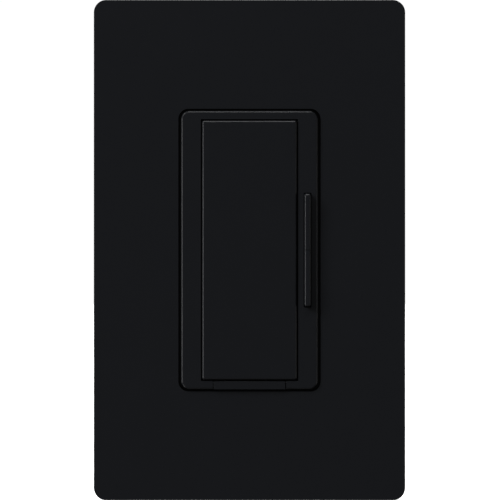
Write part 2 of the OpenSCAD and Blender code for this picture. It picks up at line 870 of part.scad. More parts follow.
module air_gap_contacts() {
    face = bridge_y + contact_sheet + contact_button + touch_gap;
    sheet_y = [face + contact_button, face + contact_button + contact_sheet];
    half_w = 1.6;
    bottom = -32.4;
    leg_y = 3;
    color(c_contact) both_sides() {
        bar_y(contact_at, face, sheet_y[0] + weld, contact_r);
        block([contact_at[0] - half_w, sheet_y[0], bottom],
              [contact_at[0] + half_w, sheet_y[1], contact_leg_z]);
        block([contact_at[0] - half_w, leg_y, contact_leg_z - contact_sheet],
              [contact_at[0] + half_w, sheet_y[1], contact_leg_z]);
    }
}

module triac() {
    body_y = [triac_pad_t + triac_tab_t + 0.05, triac_pad_t + 4.5];
    body_z = [15.6, 24.8];
    color(c_chip)
        block([triac_x - triac_w / 2, body_y[0], body_z[0]], [triac_x + triac_w / 2, body_y[1], body_z[1]]);
}

// Metal tab that carries the chip's heat, with the three leads
module triac_heat_tab() {
    tab_z = [16.4, 31];
    hole_r = 1.7;
    lead_half_w = 0.4;
    lead_half_t = 0.25;
    lead_y = [2.5, 3.0];
    lead_end_y = 6.2;
    lead_rise = 3.1;
    color(c_steel) {
        difference() {
            block([triac_x - triac_w / 2, triac_pad_t, tab_z[0]],
                  [triac_x + triac_w / 2, triac_pad_t + triac_tab_t, tab_z[1]]);
            bar_y([triac_x, triac_rivet_z], -past, triac_pad_t + triac_tab_t + past, hole_r);
        }
        for (s = [-1, 0, 1]) translate([triac_x + s * lead_pitch, 0, lead_z]) {
            block([-lead_half_w, lead_y[0], -lead_half_t], [lead_half_w, lead_y[1], lead_rise]);
            block([-lead_half_w, lead_y[0], -lead_half_t], [lead_half_w, lead_end_y, lead_half_t]);
        }
    }
}

module triac_pad() {
    pad_size = [11, 15.8];
    pad_z = 23.6;
    color([0.7, 0.7, 0.75]) slab(touch_gap, triac_pad_t - touch_gap) difference() {
        translate([triac_x, pad_z]) square(pad_size, center = true);
        translate([triac_x, triac_rivet_z]) circle(rivet_hole_r);
    }
}

module triac_rivet() {
    shank_r = 1.5;
    tail_r = 2.3;
    tail_y = [triac_pad_t + triac_tab_t + 0.02, triac_pad_t + triac_tab_t + 0.8];
    color(c_steel) {
        bar_y([triac_x, triac_rivet_z], yoke_front - rivet_head_h, yoke_front, rivet_head_r);
        bar_y([triac_x, triac_rivet_z], yoke_front - weld, tail_y[0] + weld, shank_r);
        bar_y([triac_x, triac_rivet_z], tail_y[0], tail_y[1], tail_r);
    }
}

module choke_core() {
    color([0.85, 0.75, 0.2]) translate(choke_at) rotate([90, 0, 0]) rotate_extrude($fn = 72)
        translate([choke_ring_r, 0]) square(choke_core_size, center = true);
}

module choke_winding() {
    step = (choke_arc[1] - choke_arc[0]) / (choke_turns - 1);
    color([0.75, 0.4, 0.15]) translate(choke_at) rotate([90, 0, 0])
        for (i = [0:choke_turns - 1])
            rotate([0, 0, choke_arc[0] + i * step]) translate([choke_ring_r, 0, 0])
                rotate([90, 0, 0]) rotate_extrude() translate([choke_turn_r, 0]) circle(choke_wire_r);
}

module film_capacitor() {
    lead_r = 0.4;
    color([0.9, 0.75, 0.15]) {
        block([-16, board_back + 0.3, -9], [2, 16.5, -1]);
        for (x = [-14.5, 0.5]) bar_y([x, -5], board_back, board_back + 0.3 + weld, lead_r);
    }
}

module electrolytic_capacitor() {
    at = [6, -20.5];
    can_r = 5;
    can_y = [board_back + 0.4, 20];
    bung_r = 4.2;
    color([0.15, 0.2, 0.45]) {
        bar_y(at, can_y[0], can_y[1], can_r);
        bar_y(at, board_back, can_y[0] + weld, bung_r);
    }
}

module varistor() {
    disc_at = [-3.8, 11];
    disc_r = 4.6;
    disc_x = [7, 10.6];
    lead_at = [0.8, 2.5];
    lead_r = 0.4;
    lead_top = 8.5;
    color([0.15, 0.35, 0.65]) {
        bar_x(disc_at, disc_x[0], disc_x[1], disc_r);
        for (s = [-1, 1])
            bar_y([(disc_x[0] + disc_x[1]) / 2 + s * lead_at[0], disc_at[0] + s * lead_at[1]],
                  board_back, lead_top, lead_r);
    }
}

// Chip on the board's front, with eight leads down each side
module microcontroller() {
    centre = [-7, -10];
    size = 7;
    body_y = [1.9, 3.1];
    lead = [1.4, 1.1, 0.35];
    lead_y = 2.85;
    pitch = 0.8;
    color(c_chip) {
        translate([centre[0], 0, centre[1]]) slab(body_y[0], body_y[1]) square(size, center = true);
        for (i = [0:7], s = [-1, 1])
            translate([centre[0] + s * (size + 1) / 2, lead_y, centre[1] + (i - 3.5) * pitch])
                cube(lead, center = true);
    }
}

module bridge_rectifier() {
    height = 2.6;
    color(c_chip) block([-8.5, board_back, -26], [-2, board_back + height, -20.5]);
}

module gate_driver() {
    height = 3.4;
    color(c_chip) block([-16.5, board_back, 2], [-10, board_back + height, 9]);
}

module resistors() {
    height = 1.5;
    body_x = [-12, -5.5];
    body_r = 1.2;
    lead_x = [-14, -3.5];
    lead_r = 0.3;
    color([0.35, 0.5, 0.65]) for (z = [-12.5, -16.2]) {
        bar_x([z, board_back + height], body_x[0], body_x[1], body_r);
        bar_x([z, board_back + height], lead_x[0], lead_x[1], lead_r);
        for (x = [lead_x[0] + lead_r, lead_x[1] - lead_r])
            bar_y([x, z], board_back, board_back + height + 0.1, lead_r);
    }
}

// ---- The assembly --------------------------------------------------------

wall_plate();
plate_adapter();
adapter_screws();
bezel();
tap_paddle();
paddle_spring();
dimming_rocker();
service_tab();
yoke();
mounting_screws();
screw_retainers();
ground_screw();
back_cover();
housing_screws();
rating_label();
insulator_sheet();
circuit_board();
paddle_switch();
rocker_switches();
switch_covers();
paddle_plunger();
raise_plunger();
lower_plunger();
air_gap_bridge();
air_gap_contacts();
triac();
triac_heat_tab();
triac_pad();
triac_rivet();
choke_core();
choke_winding();
film_capacitor();
electrolytic_capacitor();
varistor();
microcontroller();
bridge_rectifier();
gate_driver();
resistors();
terminal_plates();
terminal_clamps();
terminal_screws();
common_screw();
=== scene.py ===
"""Looks of a wall-box dimmer: a tap paddle, a narrow dimming rocker and a pull-out service tab
behind a screwless wall plate, with its yoke, case and circuit board.

Everything is in metres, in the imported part's frame: +X right, +Y into the wall, +Z up.
"""
import json
import math

import bmesh
import bpy
from mathutils import Matrix, Vector
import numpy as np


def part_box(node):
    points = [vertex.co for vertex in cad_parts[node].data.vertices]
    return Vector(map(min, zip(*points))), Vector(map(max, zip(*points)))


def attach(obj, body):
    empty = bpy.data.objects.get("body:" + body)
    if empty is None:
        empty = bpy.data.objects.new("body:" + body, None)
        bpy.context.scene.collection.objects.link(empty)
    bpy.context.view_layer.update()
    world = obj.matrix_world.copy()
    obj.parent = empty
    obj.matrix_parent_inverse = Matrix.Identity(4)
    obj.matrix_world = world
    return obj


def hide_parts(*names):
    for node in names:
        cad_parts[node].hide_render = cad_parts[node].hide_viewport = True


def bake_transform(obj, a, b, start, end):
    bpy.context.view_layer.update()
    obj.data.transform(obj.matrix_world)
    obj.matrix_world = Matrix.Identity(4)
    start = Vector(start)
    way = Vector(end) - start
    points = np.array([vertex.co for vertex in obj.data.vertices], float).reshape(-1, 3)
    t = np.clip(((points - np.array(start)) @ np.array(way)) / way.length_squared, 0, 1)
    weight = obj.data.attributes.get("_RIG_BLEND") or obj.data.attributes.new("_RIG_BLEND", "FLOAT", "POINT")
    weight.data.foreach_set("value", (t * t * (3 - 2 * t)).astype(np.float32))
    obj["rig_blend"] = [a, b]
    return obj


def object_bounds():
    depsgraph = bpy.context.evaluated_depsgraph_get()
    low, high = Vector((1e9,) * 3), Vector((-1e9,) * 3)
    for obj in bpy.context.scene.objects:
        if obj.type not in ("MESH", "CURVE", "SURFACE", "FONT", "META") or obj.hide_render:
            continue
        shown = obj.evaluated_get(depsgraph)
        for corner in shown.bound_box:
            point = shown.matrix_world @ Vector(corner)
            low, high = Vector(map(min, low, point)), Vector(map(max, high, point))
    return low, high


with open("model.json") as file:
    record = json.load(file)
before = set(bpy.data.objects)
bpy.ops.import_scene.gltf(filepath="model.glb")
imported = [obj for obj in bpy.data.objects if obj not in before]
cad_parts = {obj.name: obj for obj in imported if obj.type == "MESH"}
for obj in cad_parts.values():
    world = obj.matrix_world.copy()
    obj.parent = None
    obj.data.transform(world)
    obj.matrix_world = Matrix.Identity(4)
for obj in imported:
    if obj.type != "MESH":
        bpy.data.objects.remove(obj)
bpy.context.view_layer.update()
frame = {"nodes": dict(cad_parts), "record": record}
record = frame["record"]
body_of = {node: body for body, nodes in record["behaviour"]["bodies"].items() for node in nodes}
slot_of = {part["node"]: part["material_slot"] for part in record["subparts"]}

MM = 0.001
X, Y, Z = Vector((1, 0, 0)), Vector((0, 1, 0)), Vector((0, 0, 1))


def at(x, y, z):
    """A point given in millimetres."""
    return Vector((x, y, z)) * MM


# ---- Material nodes ------------------------------------------------------


class Nodes:
    """A material's node tree, with short calls for the nodes that the materials share."""

    def __init__(self, name):
        self.material = bpy.data.materials.new(name + "_look")
        self.material.use_nodes = True
        self.tree = self.material.node_tree
        self.shader = next(n for n in self.tree.nodes if n.type == "BSDF_PRINCIPLED")
        self.place = self.add("ShaderNodeTexCoord").outputs["Object"]

    def add(self, kind, **values):
        """Adds a node. A value sets the node's property of that name, or else its input."""
        node = self.tree.nodes.new(kind)
        for key, value in values.items():
            if hasattr(node, key):
                setattr(node, key, value)
            else:
                node.inputs[key.replace("_", " ")].default_value = value
        return node

    def link(self, source, target):
        self.tree.links.new(source, target)

    def noise(self, size, detail=2.0, stretch=(1, 1, 1)):
        """Noise with features about size metres across. Stretch makes them longer along an axis."""
        mapping = self.add("ShaderNodeMapping")
        mapping.inputs["Scale"].default_value = [1 / (size * s) for s in stretch]
        self.link(self.place, mapping.inputs["Vector"])
        noise = self.add("ShaderNodeTexNoise", Scale=1.0, Detail=detail)
        self.link(mapping.outputs["Vector"], noise.inputs["Vector"])
        return noise.outputs["Fac"]

    def cells(self, size):
        """Distance from the nearest of scattered points about size metres apart."""
        cells = self.add("ShaderNodeTexVoronoi", Scale=1 / size)
        self.link(self.place, cells.inputs["Vector"])
        return cells.outputs["Distance"]

    def axes(self):
        """The three coordinates of the place, in millimetres."""
        scale = self.add("ShaderNodeVectorMath", operation="SCALE")
        scale.inputs["Scale"].default_value = 1 / MM
        self.link(self.place, scale.inputs[0])
        split = self.add("ShaderNodeSeparateXYZ")
        self.link(scale.outputs[0], split.inputs[0])
        return split.outputs

    def math(self, operation, *values):
        node = self.add("ShaderNodeMath", operation=operation)
        for socket, value in zip(node.inputs, values):
            if isinstance(value, (int, float)):
                socket.default_value = value
            else:
                self.link(value, socket)
        return node.outputs[0]

    def remap(self, value, low, high, start=0.3, end=0.7):
        node = self.add("ShaderNodeMapRange", From_Min=start, From_Max=end, To_Min=low, To_Max=high)
        self.link(value, node.inputs["Value"])
        return node.outputs["Result"]

    def blend(self, factor, first, second):
        """A colour between two, each an (r, g, b) or another node's output."""
        node = self.add("ShaderNodeMix", data_type="RGBA")
        self.link(factor, node.inputs[0])
        for socket, colour in ((node.inputs[6], first), (node.inputs[7], second)):
            if isinstance(colour, tuple):
                socket.default_value = (*colour, 1)
            else:
                self.link(colour, socket)
        return node.outputs[2]

    def bump(self, height, depth):
        node = self.add("ShaderNodeBump", Distance=depth)
        self.link(height, node.inputs["Height"])
        return node.outputs["Normal"]

    def finish(self, colour, roughness=None, normal=None, **values):
        """Wires up the shader: outputs are linked, and numbers are set on the shader's own sockets."""
        self.link(colour, self.shader.inputs["Base Color"])
        if roughness is not None:
            self.link(roughness, self.shader.inputs["Roughness"])
        if normal is not None:
            self.link(normal, self.shader.inputs["Normal"])
        for key, value in values.items():
            self.shader.inputs[key.replace("_", " ")].default_value = value
        return self.material


def shade(colour, factor):
    return tuple(c * factor for c in colour)


# ---- Materials -----------------------------------------------------------


def moulded(name, colour, roughness, grain=0.25 * MM, depth=0.0015 * MM, mottle=0.05, **values):
    """Moulded plastic: a fine spark-eroded grain, with slight mottling of colour and gloss."""
    n = Nodes(name)
    tint = n.blend(n.noise(9 * MM, 3), shade(colour, 1 - mottle), shade(colour, 1 + mottle))
    rough = n.remap(n.noise(2.5 * MM, 3), roughness - 0.02, roughness + 0.02)
    return n.finish(tint, rough, n.bump(n.noise(grain, 2), depth), **values)


def metal(name, colour, roughness, along=(1, 1, 14), scratch=0.12 * MM, tarnish=0.12, wear=0.06, **values):
    """Rolled, drawn or plated metal: long fine scratches, and a cloudy tarnish."""
    n = Nodes(name)
    lines = n.noise(scratch, 3, along)
    cloud = n.noise(5 * MM, 4)
    tint = n.blend(cloud, shade(colour, 1 - tarnish), colour)
    rough = n.math("ADD", n.remap(lines, roughness - wear, roughness + wear), n.remap(cloud, -0.03, 0.03))
    return n.finish(tint, rough, n.bump(lines, wear * 0.03 * MM), Metallic=1.0, **values)


def board_material():
    """Circuit board: green solder mask over copper tracks that run both ways."""
    n = Nodes("board")
    x, _, z = n.axes()
    pitch, half_width = 1.27, 0.16
    tracks = [n.math("LESS_THAN", n.math("PINGPONG", axis, pitch / 2), half_width) for axis in (x, z)]
    turn = n.math("GREATER_THAN", n.noise(7 * MM, 0), 0.5)
    gaps = n.math("GREATER_THAN", n.noise(4 * MM, 0), 0.46)
    across = n.math("MULTIPLY", tracks[0], turn)
    along = n.math("MULTIPLY", tracks[1], n.math("SUBTRACT", 1.0, turn))
    copper = n.math("MULTIPLY", n.math("MAXIMUM", across, along), gaps)
    mask = n.blend(n.noise(12 * MM, 3), (0.006, 0.075, 0.03), (0.009, 0.1, 0.04))
    tint = n.blend(copper, mask, (0.02, 0.2, 0.07))
    rough = n.remap(n.noise(1 * MM), 0.26, 0.36)
    return n.finish(tint, rough, n.bump(copper, 0.03 * MM), Coat_Weight=0.4, Coat_Roughness=0.12)


def fibre_sheet():
    """Vulcanised fibre: short fibres that lie both ways in the sheet."""
    n = Nodes("paper")
    colour = (0.6, 0.55, 0.42)
    size = 0.3 * MM
    one, other = n.noise(size, 3, (6, 1, 1)), n.noise(size, 3, (1, 1, 6))
    fibres = n.math("MAXIMUM", one, other)
    tint = n.blend(n.remap(fibres, 0, 1), shade(colour, 0.88), colour)
    return n.finish(tint, n.remap(one, 0.75, 0.85), n.bump(fibres, 0.01 * MM))


def label_material():
    """A blank label: silver-white film with a thin printed frame and two rules."""
    n = Nodes("label")
    x, _, z = n.axes()
    side, up = n.math("ABSOLUTE", x), n.math("ABSOLUTE", z)
    frame_x, frame_z, rule_z = 11.1, 17.1, 8.0
    half_line, half_rule = 0.12, 0.08
    inside_x = n.math("LESS_THAN", side, frame_x + half_line)
    inside_z = n.math("LESS_THAN", up, frame_z + half_line)
    upright = n.math("MULTIPLY", n.math("COMPARE", side, frame_x, half_line), inside_z)
    level = n.math("MULTIPLY", n.math("COMPARE", up, frame_z, half_line), inside_x)
    rule = n.math("MULTIPLY", n.math("COMPARE", up, rule_z, half_rule), inside_x)
    ink = n.math("MAXIMUM", n.math("MAXIMUM", upright, level), rule)
    film = n.blend(n.noise(3 * MM, 3), (0.6, 0.61, 0.62), (0.68, 0.69, 0.7))
    tint = n.blend(ink, film, (0.03, 0.03, 0.035))
    return n.finish(tint, n.remap(n.noise(0.8 * MM), 0.42, 0.55), n.bump(n.noise(0.4 * MM), 0.002 * MM))


def woven_pad():
    """Silicone pad with a glass weave that shows through."""
    n = Nodes("rubber_pad")
    x, _, z = n.axes()
    pitch = 0.9
    waves = [n.math("SINE", n.math("MULTIPLY", axis, 2 * math.pi / pitch)) for axis in (x, z)]
    weave = n.math("MULTIPLY", *waves)
    tint = n.blend(n.remap(weave, 0, 1, -1, 1), (0.22, 0.23, 0.25), (0.32, 0.33, 0.35))
    return n.finish(tint, n.remap(n.noise(1 * MM), 0.6, 0.75), n.bump(weave, 0.03 * MM))


def painted_core():
    """Iron-powder core under a speckled yellow coat."""
    n = Nodes("ferrite")
    specks = n.remap(n.cells(0.5 * MM), 0, 1, 0.15, 0.4)
    paint = n.blend(n.noise(3 * MM, 3), (0.62, 0.46, 0.04), (0.72, 0.55, 0.07))
    tint = n.blend(specks, (0.4, 0.29, 0.03), paint)
    return n.finish(tint, n.remap(n.noise(0.6 * MM), 0.35, 0.5), n.bump(specks, 0.01 * MM))


def resistor_material():
    """Resistor body in pale blue enamel, with its colour bands round it along X."""
    n = Nodes("resistor_enamel")
    x = n.axes()[0]
    tint = n.blend(n.noise(1.5 * MM, 2), (0.12, 0.32, 0.5), (0.16, 0.38, 0.56))
    red, black, brown, gold = (0.35, 0.02, 0.01), (0.02, 0.02, 0.02), (0.25, 0.09, 0.02), (0.5, 0.3, 0.05)
    half_band = 0.28
    for place, colour in ((-10.9, red), (-9.7, black), (-8.6, brown), (-6.7, gold)):
        tint = n.blend(n.math("COMPARE", x, place, half_band), tint, colour)
    return n.finish(tint, n.remap(n.noise(0.7 * MM), 0.25, 0.35), Coat_Weight=0.3)


MATERIALS = {
    "black_plastic": moulded("black_plastic", (0.0091, 0.01, 0.0122), 0.31, depth=0.001 * MM),
    "inner_plastic": moulded("inner_plastic", (0.016, 0.016, 0.018), 0.5, depth=0.004 * MM),
    "case_plastic": moulded("case_plastic", (0.022, 0.0225, 0.025), 0.46, 0.35 * MM, 0.006 * MM, 0.08),
    "yoke_sheet": metal("yoke_sheet", (0.62, 0.63, 0.65), 0.36),
    "zinc_steel": metal("zinc_steel", (0.6, 0.61, 0.6), 0.3, (2, 2, 2), wear=0.03),
    "green_screw": metal("green_screw", (0.03, 0.3, 0.1), 0.34, (2, 2, 2), wear=0.03),
    "black_screw": metal("black_screw", (0.035, 0.035, 0.04), 0.38, (2, 2, 2), wear=0.03),
    "brass": metal("brass", (0.72, 0.5, 0.19), 0.28, (2, 2, 2), 0.05 * MM, 0.16, wear=0.03),
    "contact_metal": metal("contact_metal", (0.72, 0.43, 0.27), 0.3, (6, 1, 1), 0.06 * MM, 0.16, wear=0.03),
    "copper_wire": metal("copper_wire", (0.62, 0.2, 0.06), 0.3, (1, 1, 1), 0.4 * MM, 0.2, Coat_Weight=0.8),
    "ferrite": painted_core(),
    "board": board_material(),
    "chip_black": moulded("chip_black", (0.014, 0.014, 0.015), 0.55, 0.12 * MM, 0.004 * MM, 0.1),
    "film_yellow": moulded("film_yellow", (0.72, 0.44, 0.03), 0.38, 0.3 * MM, 0.004 * MM, 0.06),
    "sleeve_blue": moulded("sleeve_blue", (0.015, 0.06, 0.22), 0.3, 0.5 * MM, 0.003 * MM, 0.1),
    "paper": fibre_sheet(),
    "rubber_pad": woven_pad(),
}
LABEL = label_material()
RESISTOR = resistor_material()
TINNED = metal("tinned_lead", (0.66, 0.66, 0.64), 0.3, (1, 1, 1), 0.3 * MM)
NYLON = moulded(
    "nylon", (0.55, 0.52, 0.44), 0.45, 0.4 * MM, 0.004 * MM, Subsurface_Weight=0.1, Subsurface_Scale=MM
)

# ---- Mesh tools ----------------------------------------------------------

REAL_EDGE = math.radians(35)


def welded(node):
    """The CAD node's own mesh as a bmesh, with its triangles merged back into whole faces."""
    bm = bmesh.new()
    bm.from_mesh(frame["nodes"][node].data)
    bmesh.ops.remove_doubles(bm, verts=bm.verts, dist=0.5e-6)
    bmesh.ops.dissolve_limit(bm, angle_limit=math.radians(0.4), verts=bm.verts, edges=bm.edges)
    bm.normal_update()
    return bm


def cut(bm, point, normal):
    """Cuts off what lies beyond a plane, on the side that the normal points to, and closes the cut."""
    everything = bm.verts[:] + bm.edges[:] + bm.faces[:]
    bmesh.ops.bisect_plane(bm, geom=everything, plane_co=point, plane_no=normal, clear_outer=True)
    bmesh.ops.holes_fill(bm, edges=[e for e in bm.edges if e.is_boundary])
    bmesh.ops.remove_doubles(bm, verts=bm.verts, dist=2e-6)
    bm.normal_update()


def round_off(bm, radius, where=None, segments=3):
    """Rounds the outward edges whose middle passes the test, and leaves seams of round faces alone."""
    chosen = [
        e for e in bm.edges
        if e.is_manifold and e.calc_face_angle_signed() > REAL_EDGE
        and (where is None or where((e.verts[0].co + e.verts[1].co) / 2 / MM))
    ]
    bmesh.ops.bevel(
        bm, geom=chosen, offset=radius, segments=segments, profile=0.5, affect="EDGES", clamp_overlap=True
    )
    bm.normal_update()


def aligned(origin, axis):
    """The matrix that puts local Z along an axis, at an origin."""
    return Matrix.Translation(origin) @ axis.to_track_quat("Z", "Y").to_matrix().to_4x4()


def add_rings(bm, rings):
    """Joins rings of points, each as many, into a closed tube with flat ends."""
    made = [[bm.verts.new(p) for p in ring] for ring in rings]
    for low, high in zip(made, made[1:]):
        for i in range(len(low)):
            k = (i + 1) % len(low)
            bm.faces.new((low[i], low[k], high[k], high[i]))
    bm.faces.new(made[0][::-1])
    bm.faces.new(made[-1])


def circle(radius, sides):
    angles = [2 * math.pi * i / sides for i in range(sides)]
    return [(radius * math.cos(angle), radius * math.sin(angle)) for angle in angles]


def add_lathe(bm, profile, origin, axis, sides=40):
    """A turned solid between flat ends: profile lists (radius, distance along the axis) in millimetres."""
    place = aligned(origin, axis)
    rings = [
        [place @ Vector((x, y, along * MM)) for x, y in circle(radius * MM, sides)]
        for radius, along in profile
    ]
    add_rings(bm, rings)


def add_tube(bm, points, radius, sides=10):
    """A round wire along a line of points."""
    rings = []
    side = None
    for i, point in enumerate(points):
        ahead = (points[min(i + 1, len(points) - 1)] - points[max(i - 1, 0)]).normalized()
        if side is None:
            side = ahead.orthogonal().normalized()
        side = (side - ahead * side.dot(ahead)).normalized()
        up = ahead.cross(side)
        rings.append([point + side * x + up * y for x, y in circle(radius, sides)])
    add_rings(bm, rings)


def add_thread(bm, seat, tip, crest, root, pitch, sides=24, rows_per_turn=8):
    """A threaded shank from seat to tip, with a run-out at the seat and a chamfer at the tip."""
    length = (tip - seat).length
    place = aligned(seat, (tip - seat).normalized())
    rows = math.ceil(length / pitch * rows_per_turn)
    flank_slope, root_flat = 1.25, 0.1
    tip_share, chamfer_slope = 0.75, 0.8
    rings = []
    for j in range(rows + 1):
        along = length * j / rows
        ring = []
        for i in range(sides):
            phase = (along / pitch - i / sides) % 1
            flank = min(1, max(0, flank_slope * (1 - abs(2 * phase - 1)) - root_flat))
            run_out = min(1, along / pitch)
            chamfer = tip_share * root + chamfer_slope * (length - along)
            radius = min(root + (crest - root) * (flank * run_out), chamfer)
            angle = 2 * math.pi * i / sides
            ring.append(place @ Vector((radius * math.cos(angle), radius * math.sin(angle), along)))
        rings.append(ring)
    add_rings(bm, rings)


def bent(corners, radius, steps=6):
    """The points of a wire that runs through corners, with each inner corner rounded."""
    points = [corners[0]]
    for before, corner, after in zip(corners, corners[1:], corners[2:]):
        start = corner + (before - corner).normalized() * radius
        end = corner + (after - corner).normalized() * radius
        for i in range(steps + 1):
            t = i / steps
            points.append(start * (1 - t) ** 2 + corner * 2 * t * (1 - t) + end * t * t)
    return points + [corners[-1]]


def piece(bm, name, node, material=None, slot=None, replaced=True):
    """Makes a piece of a bmesh, which stands for its CAD node unless told otherwise."""
    mesh = bpy.data.meshes.new(name)
    bm.to_mesh(mesh)
    bm.free()
    for layer in [a for a in mesh.attributes if a.name == "custom_normal"]:
        mesh.attributes.remove(layer)
    mesh.shade_smooth()
    mesh.set_sharp_from_angle(angle=REAL_EDGE)
    mesh.materials.clear()
    mesh.materials.append(material or MATERIALS[slot or slot_of[node]])
    made = bpy.data.objects.new(name, mesh)
    bpy.context.scene.collection.objects.link(made)
    if replaced:
        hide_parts(node)
    return made


def ride(made, node):
    """Rides a piece as its CAD node does, with normals that keep its flat faces looking flat."""
    normals = made.modifiers.new("flat faces", "WEIGHTED_NORMAL")
    normals.keep_sharp = True
    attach(made, body_of[node])


def near(value, target, slack=0.05):
    return abs(value - target) < slack


def beyond(x, z):
    """A test for places further out than x to either side, or than z up or down."""
    return lambda p: abs(p.x) > x or abs(p.z) > z


# ---- Front pieces --------------------------------------------------------


def wall_plate():
    """The front edge of its outline is rounded a little, and that of its opening less."""
    low, high = (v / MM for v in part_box("wall_plate"))
    bm = welded("wall_plate")
    margin = 3.5
    outer = beyond(high.x - margin, high.z - margin)
    round_off(bm, 0.1 * MM, lambda p: near(p.y, low.y) and outer(p), 3)
    round_off(bm, 0.05 * MM, lambda p: near(p.y, low.y) and not outer(p), 2)
    ride(piece(bm, "wall_plate_shell", "wall_plate"), "wall_plate")


def bezel():
    """Its outline is well rounded, and the edges of its windows are nearly sharp."""
    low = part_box("bezel")[0] / MM
    bm = welded("bezel")
    rim_x, rim_z = 15.4, 32.2
    outer = beyond(rim_x, rim_z)
    round_off(bm, 0.5 * MM, lambda p: near(p.y, low.y) and outer(p), 6)
    round_off(bm, 0.05 * MM, lambda p: near(p.y, low.y) and not outer(p), 2)
    ride(piece(bm, "bezel_frame", "bezel"), "bezel")


def tap_paddle():
    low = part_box("tap_paddle")[0] / MM
    bm = welded("tap_paddle")
    front_depth = 2.0
    round_off(bm, 0.5 * MM, lambda p: p.y < low.y + front_depth, 6)
    ride(piece(bm, "tap_paddle_key", "tap_paddle"), "tap_paddle")


def dimming_rocker():
    """The bar's ends are rounded more than its long edges, and a hairline groove crosses its middle."""
    low, high = (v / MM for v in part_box("dimming_rocker"))
    bm = welded("dimming_rocker")
    bar_depth, crease_depth = 2.2, 1.0
    half_groove, groove_depth = 0.1 * MM, 0.11 * MM
    round_off(bm, 0.5 * MM, lambda p: near(p.y, low.y) and near(abs(p.z), high.z), 6)
    round_off(bm, 0.42 * MM, lambda p: p.y < low.y + bar_depth and not near(p.z, 0), 6)

    def in_crease(vert):
        return near(vert.co.z, 0, 1e-6) and vert.co.y / MM < low.y + crease_depth

    crease = [e for e in bm.edges if all(in_crease(v) for v in e.verts)]
    bmesh.ops.bevel(bm, geom=crease, offset=half_groove, segments=2, profile=0.5, affect="EDGES")
    for vert in bm.verts:
        if in_crease(vert):
            vert.co.y += groove_depth
    ride(piece(bm, "dimming_rocker_bar", "dimming_rocker"), "dimming_rocker")


def service_tab():
    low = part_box("service_tab")[0] / MM
    bm = welded("service_tab")
    round_off(bm, 0.05 * MM, lambda p: near(p.y, low.y), 2)
    ride(piece(bm, "service_tab_pull", "service_tab"), "service_tab")


# ---- Case and plain pieces -----------------------------------------------


def back_cover():
    """The outline of its back is well rounded, and its other edges slightly."""
    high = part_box("back_cover")[1] / MM
    bm = welded("back_cover")
    outline_x, outline_z = 19.5, 33
    inner_x, corner_depth = 19, 0.9
    outline = beyond(outline_x, outline_z)
    round_off(bm, 0.8 * MM, lambda p: near(p.y, high.y) and outline(p), 5)

    def other(p):
        return p.y < high.y - corner_depth or (abs(p.x) < inner_x and abs(p.z) < outline_z)

    round_off(bm, 0.12 * MM, other, 2)
    ride(piece(bm, "back_cover_case", "back_cover"), "back_cover")


ROUNDED = {
    "plate_adapter": 0.15, "yoke": 0.12, "circuit_board": 0.06, "insulator_sheet": 0.03,
    "paddle_switch": 0.2, "rocker_switches": 0.2, "switch_covers": 0.06,
    "paddle_plunger": 0.2, "raise_plunger": 0.2, "lower_plunger": 0.2,
    "air_gap_bridge": 0.08, "air_gap_contacts": 0.08, "triac": 0.2, "triac_heat_tab": 0.08,
    "triac_pad": 0.04, "triac_rivet": 0.25, "choke_core": 0.7, "bridge_rectifier": 0.25, "gate_driver": 0.3,
    "terminal_plates": 0.1, "terminal_clamps": 0.12, "rating_label": 0.03, "screw_retainers": 0.12,
}
OWN_MATERIAL = {"rating_label": LABEL, "screw_retainers": NYLON}


def plain_pieces():
    """Pieces whose CAD shape only lacks its small roundings."""
    for node, radius in ROUNDED.items():
        bm = welded(node)
        round_off(bm, radius * MM, None, 2)
        ride(piece(bm, node + "_body", node, OWN_MATERIAL.get(node)), node)


def leaf_spring():
    """The paddle's spring bends: its foot stays on the yoke, and its tip follows the paddle."""
    low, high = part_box("paddle_spring")
    bm = welded("paddle_spring")
    strips = 25
    for step in range(1, strips):
        z = low.z + (high.z - low.z) * step / strips
        everything = bm.verts[:] + bm.edges[:] + bm.faces[:]
        bmesh.ops.bisect_plane(bm, geom=everything, plane_co=(0, 0, z), plane_no=Z)
    made = piece(bm, "paddle_leaf_spring", "paddle_spring")
    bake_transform(made, "dimmer", "paddle", start=at(0, -1.6, -16), end=at(0, -4.6, -5.8))


# ---- Screws --------------------------------------------------------------

# Each thread is the radius of its crest, that of its root and its pitch, in millimetres.
COARSE_PITCH = 25.4 / 32
COARSE_THREAD = (1.75, 1.42, COARSE_PITCH)
BINDING_THREAD = (1.75, 1.4, COARSE_PITCH)
CASE_THREAD = (1.25, 0.95, 1.0)
NECK_RADIUS = 1.45


def screws_along_y(node, places, seat_y, tip_y, thread, name, neck_y=None, head_side=-1):
    """Screws along Y: heads from the CAD node, cut off at the seat, on shanks threaded to the tip."""
    bm = welded(node)
    cut(bm, at(0, seat_y, 0), Y * -head_side)
    round_off(bm, 0.12 * MM, lambda p: not near(p.y, seat_y, 0.02), 2)
    for x, z in places:
        start = seat_y
        if neck_y is not None:
            overlap = 0.1
            neck = [(NECK_RADIUS, 0), (NECK_RADIUS, neck_y - seat_y + overlap)]
            add_lathe(bm, neck, at(x, seat_y, z), Y)
            start = neck_y
        add_thread(bm, at(x, start, z), at(x, tip_y, z), *(size * MM for size in thread))
    ride(piece(bm, name, node), node)


